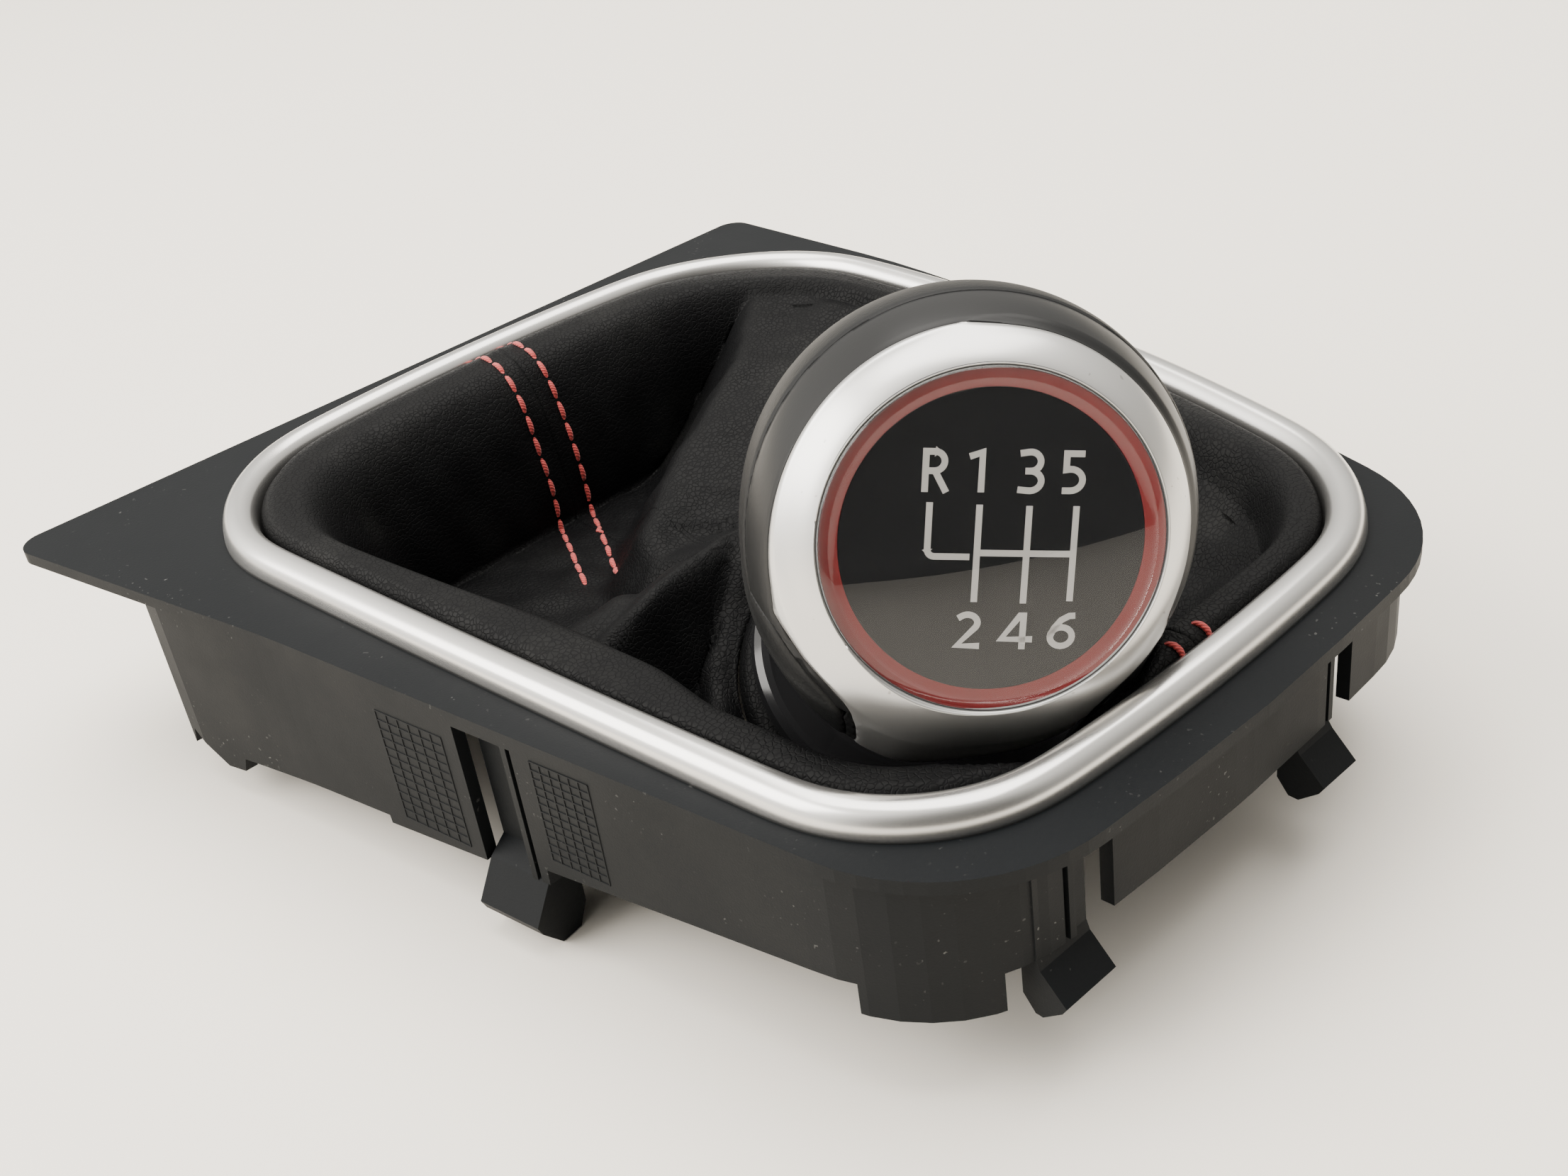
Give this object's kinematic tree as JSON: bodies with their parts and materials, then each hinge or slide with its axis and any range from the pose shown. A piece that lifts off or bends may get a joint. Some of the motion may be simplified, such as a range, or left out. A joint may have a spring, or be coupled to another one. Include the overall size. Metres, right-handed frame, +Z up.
{
  "type": "gear shift knob with gaiter and console frame",
  "caption": "Gear shift knob with a round shift pattern dial, lying tilted in its leather gaiter, with a silver trim ring and a snap-in console frame.",
  "frame": {"origin": "underside of the console plate, X midway along its straight edge, Y about the middle of the cut-out it fills", "axes": "+X to the right as seen from the straight edge's far side, +Y towards the straight edge, +Z up out of the console"},
  "size_m": [0.157, 0.1783, 0.0839],
  "materials": {
    "frame_plastic": "moulded, fine grain, matt, dusty",
    "trim_silver": "satin silver paint on plastic",
    "black_plastic": "moulded, plain",
    "leather_black": "fine pebble grain, satin, red double stitching",
    "clamp_steel": "bright strip",
    "insert_metal": "turned and sintered, plain",
    "shell_grain": "soft grained black",
    "band_black": "smooth dark grey, satin",
    "bezel_silver": "satin silver plating",
    "dial_black": "gloss black with pale grey figures",
    "ring_red": "satin red",
    "lens_clear": "clear, glossy, faint scratches"
  },
  "bodies": {
    "console": {"console_frame": "frame_plastic", "trim_ring": "trim_silver", "gaiter_frame": "black_plastic", "gaiter": "leather_black"},
    "collar": {"gaiter_collar": "black_plastic", "gaiter_clamp": "clamp_steel"},
    "knob": {"knob_core": "black_plastic", "lever_insert": "insert_metal", "rear_shell": "shell_grain", "side_band": "band_black", "bezel": "bezel_silver", "dial_carrier": "black_plastic", "dial_disc": "dial_black", "red_ring": "ring_red", "lens": "lens_clear"}
  },
  "joints": [
    {"name": "knob_lift", "type": "hinge", "parent": "console", "child": "collar", "pos_m": [-0.0003, -0.0355, -0.0126], "axis": [-0.9311, 0.3649, 0], "range_deg": [0, 55], "deforming": ["gaiter"]},
    {"name": "knob_sway", "type": "hinge", "parent": "collar", "child": "knob", "pos_m": [-0.0003, -0.0355, -0.0126], "axis": [0.3173, 0.8095, 0.4939], "range_deg": [-8, 6], "deforming": ["gaiter"]}
  ]
}
